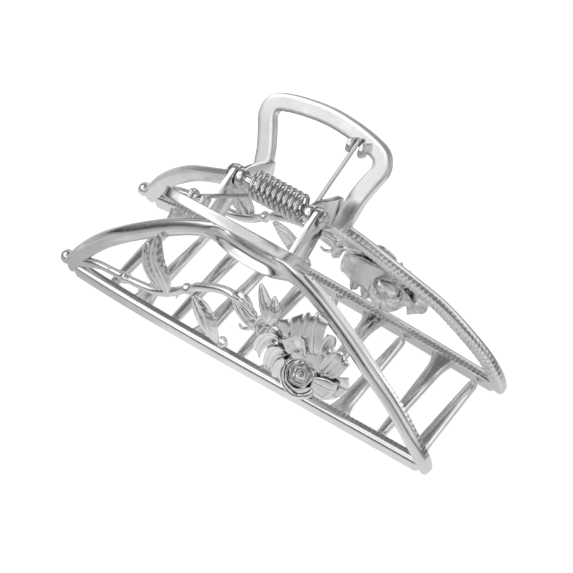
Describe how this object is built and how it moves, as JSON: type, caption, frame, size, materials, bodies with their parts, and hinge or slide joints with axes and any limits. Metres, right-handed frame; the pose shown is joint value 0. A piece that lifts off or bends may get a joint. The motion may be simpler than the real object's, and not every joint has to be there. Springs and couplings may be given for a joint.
{
  "type": "claw hair clip",
  "caption": "Cast metal claw hair clip: two mirrored half-moon jaws with interleaving teeth, loop handles, a rose on a stem in each frame, and a sprung hinge.",
  "frame": {"origin": "bottom centre of the closed clip's box, as it stands on its rails", "axes": "+X along the hinge axis towards the flower end of the frames, +Y from the front jaw to the rear jaw, +Z from the teeth up to the handles"},
  "size_m": [0.1062, 0.0432, 0.0544],
  "materials": {
    "plated_casting": "bright silver plating over a zinc alloy casting, lightly brushed on the handle faces",
    "pin_steel": "plated steel rivet pin with peened heads",
    "spring_steel": "bright plated round spring wire"
  },
  "bodies": {
    "rear_jaw": {"rear_arch_rail": "plated_casting", "rear_base_rail": "plated_casting", "rear_handle_loop": "plated_casting", "rear_finial_ball": "plated_casting", "rear_tooth_1": "plated_casting", "rear_tooth_2": "plated_casting", "rear_tooth_3": "plated_casting", "rear_tooth_4": "plated_casting", "rear_tooth_5": "plated_casting", "rear_left_lug": "plated_casting", "rear_right_lug": "plated_casting", "rear_inner_spring_ear": "plated_casting", "rear_outer_spring_ear": "plated_casting", "rear_rose_bloom": "plated_casting", "rear_rose_stem": "plated_casting", "rear_leaf_1": "plated_casting", "rear_leaf_2": "plated_casting", "rear_leaf_3": "plated_casting", "rear_leaf_4": "plated_casting", "hinge_pin": "pin_steel", "torsion_spring": "spring_steel"},
    "front_jaw": {"front_arch_rail": "plated_casting", "front_base_rail": "plated_casting", "front_handle_loop": "plated_casting", "front_finial_ball": "plated_casting", "front_tooth_1": "plated_casting", "front_tooth_2": "plated_casting", "front_tooth_3": "plated_casting", "front_tooth_4": "plated_casting", "front_tooth_5": "plated_casting", "front_left_lug": "plated_casting", "front_right_lug": "plated_casting", "front_inner_spring_ear": "plated_casting", "front_outer_spring_ear": "plated_casting", "front_rose_bloom": "plated_casting", "front_rose_stem": "plated_casting", "front_leaf_1": "plated_casting", "front_leaf_2": "plated_casting", "front_leaf_3": "plated_casting", "front_leaf_4": "plated_casting"}
  },
  "joints": [
    {"name": "jaw_hinge", "type": "hinge", "parent": "rear_jaw", "child": "front_jaw", "pos_m": [0.00113, 0, 0.0436], "axis": [-1, 0, 0], "range_deg": [0, 50], "stiffness_Nm_per_rad": 0.1, "springref_deg": -45.84, "deforming": ["torsion_spring"]}
  ]
}
